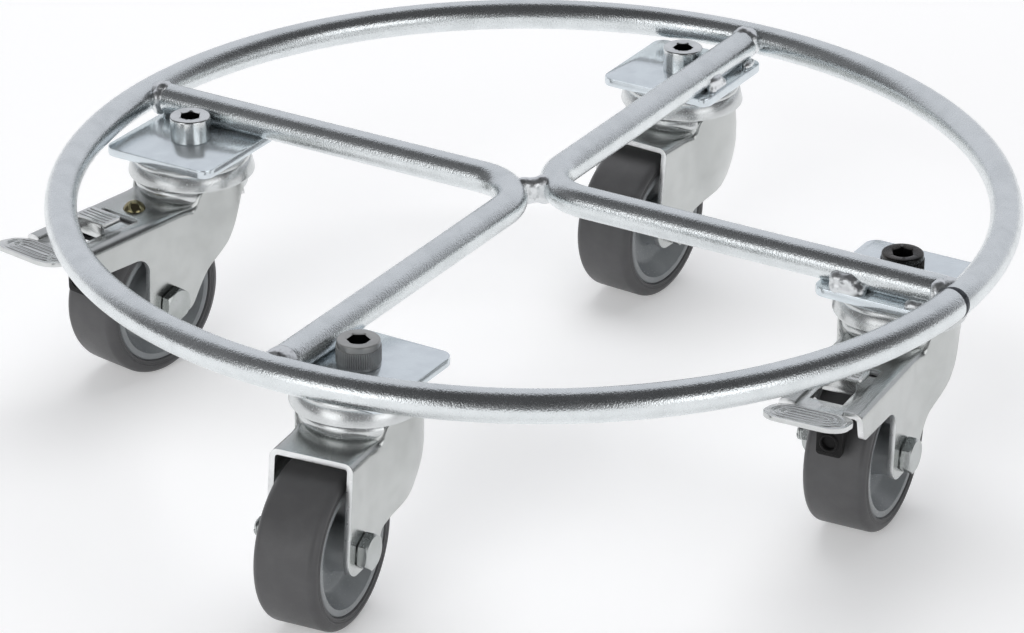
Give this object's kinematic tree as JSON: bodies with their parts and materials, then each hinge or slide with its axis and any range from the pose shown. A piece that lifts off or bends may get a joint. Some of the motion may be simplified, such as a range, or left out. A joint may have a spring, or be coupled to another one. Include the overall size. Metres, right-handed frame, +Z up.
{
  "type": "plant dolly",
  "caption": "Round plant dolly: zinc plated rod ring with bent cross bars on swivel casters with grey tyres, some with foot brakes, for rolling a heavy pot.",
  "frame": {"origin": "on the floor under the ring's centre", "axes": "+Z up along the ring's axis, +X and +Y along two of the cross bars"},
  "size_m": [0.3004, 0.3191, 0.0808],
  "materials": {
    "zinc_rod": "bright blue zinc plate on drawn rod",
    "weld_bead": "zinc plated weld",
    "zinc_sheet": "bright zinc plate on flat sheet",
    "pressed_zinc": "satin zinc plate on pressed sheet",
    "screw_steel": "zinc plated screw steel",
    "bearing_steel": "bare bearing steel",
    "rivet_yellow": "yellow passivated steel",
    "grey_tread": "matt grey thermoplastic rubber",
    "rim_plastic": "moulded polypropylene",
    "shoe_plastic": "moulded nylon"
  },
  "bodies": {
    "frame": {"ring": "zinc_rod", "left_bar": "zinc_rod", "right_bar": "zinc_rod", "frame_welds": "weld_bead", "plate_welds": "weld_bead", "cap_screws": "screw_steel", "king_pins": "bearing_steel", "swivel_nuts": "screw_steel", "right_plate": "zinc_sheet", "right_upper_race": "pressed_zinc", "rear_plate": "zinc_sheet", "rear_upper_race": "pressed_zinc", "left_plate": "zinc_sheet", "left_upper_race": "pressed_zinc", "front_plate": "zinc_sheet", "front_upper_race": "pressed_zinc"},
    "right_swivel": {"right_fork": "pressed_zinc", "right_bearing_cup": "pressed_zinc", "right_ball_row": "bearing_steel", "right_axle_bolt": "screw_steel", "right_axle_nut": "screw_steel", "right_axle_sleeve": "bearing_steel", "right_pivot_pin": "bearing_steel", "right_detent_spring": "bearing_steel", "right_spring_rivet": "rivet_yellow"},
    "right_wheel": {"right_tyre": "grey_tread", "right_rim": "rim_plastic"},
    "right_pedal": {"right_brake_pedal": "pressed_zinc", "right_brake_shoe": "shoe_plastic"},
    "rear_swivel": {"rear_fork": "pressed_zinc", "rear_bearing_cup": "pressed_zinc", "rear_ball_row": "bearing_steel", "rear_axle_bolt": "screw_steel", "rear_axle_nut": "screw_steel", "rear_axle_sleeve": "bearing_steel"},
    "rear_wheel": {"rear_tyre": "grey_tread", "rear_rim": "rim_plastic"},
    "left_swivel": {"left_fork": "pressed_zinc", "left_bearing_cup": "pressed_zinc", "left_ball_row": "bearing_steel", "left_axle_bolt": "screw_steel", "left_axle_nut": "screw_steel", "left_axle_sleeve": "bearing_steel", "left_pivot_pin": "bearing_steel", "left_detent_spring": "bearing_steel", "left_spring_rivet": "rivet_yellow"},
    "left_wheel": {"left_tyre": "grey_tread", "left_rim": "rim_plastic"},
    "left_pedal": {"left_brake_pedal": "pressed_zinc", "left_brake_shoe": "shoe_plastic"},
    "front_swivel": {"front_fork": "pressed_zinc", "front_bearing_cup": "pressed_zinc", "front_ball_row": "bearing_steel", "front_axle_bolt": "screw_steel", "front_axle_nut": "screw_steel", "front_axle_sleeve": "bearing_steel"},
    "front_wheel": {"front_tyre": "grey_tread", "front_rim": "rim_plastic"}
  },
  "joints": [
    {"name": "right_swivel_turn", "type": "hinge", "parent": "frame", "child": "right_swivel", "pos_m": [0.1196, 0.013, 0.05], "axis": [0, 0, 1], "continuous": true},
    {"name": "right_wheel_roll", "type": "hinge", "parent": "right_swivel", "child": "right_wheel", "pos_m": [0.12127, -0.01094, 0.025], "axis": [0.9976, 0.0698, 0], "continuous": true},
    {"name": "right_pedal_press", "type": "hinge", "parent": "right_swivel", "child": "right_pedal", "pos_m": [0.12211, -0.02291, 0.0513], "axis": [0.9976, 0.0698, 0], "range_deg": [0, 9]},
    {"name": "rear_swivel_turn", "type": "hinge", "parent": "frame", "child": "rear_swivel", "pos_m": [-0.013, 0.1196, 0.05], "axis": [0, 0, 1], "continuous": true},
    {"name": "rear_wheel_roll", "type": "hinge", "parent": "rear_swivel", "child": "rear_wheel", "pos_m": [-0.01447, 0.09564, 0.025], "axis": [0.9981, -0.061, 0], "continuous": true},
    {"name": "left_swivel_turn", "type": "hinge", "parent": "frame", "child": "left_swivel", "pos_m": [-0.1196, -0.013, 0.05], "axis": [0, 0, 1], "continuous": true},
    {"name": "left_wheel_roll", "type": "hinge", "parent": "left_swivel", "child": "left_wheel", "pos_m": [-0.12335, -0.0367, 0.025], "axis": [0.9877, -0.1564, 0], "continuous": true},
    {"name": "left_pedal_press", "type": "hinge", "parent": "left_swivel", "child": "left_pedal", "pos_m": [-0.12523, -0.04856, 0.0513], "axis": [0.9877, -0.1564, 0], "range_deg": [0, 9]},
    {"name": "front_swivel_turn", "type": "hinge", "parent": "frame", "child": "front_swivel", "pos_m": [0.013, -0.1196, 0.05], "axis": [0, 0, 1], "continuous": true},
    {"name": "front_wheel_roll", "type": "hinge", "parent": "front_swivel", "child": "front_wheel", "pos_m": [0.01551, -0.14347, 0.025], "axis": [0.9945, 0.1045, 0], "continuous": true}
  ]
}
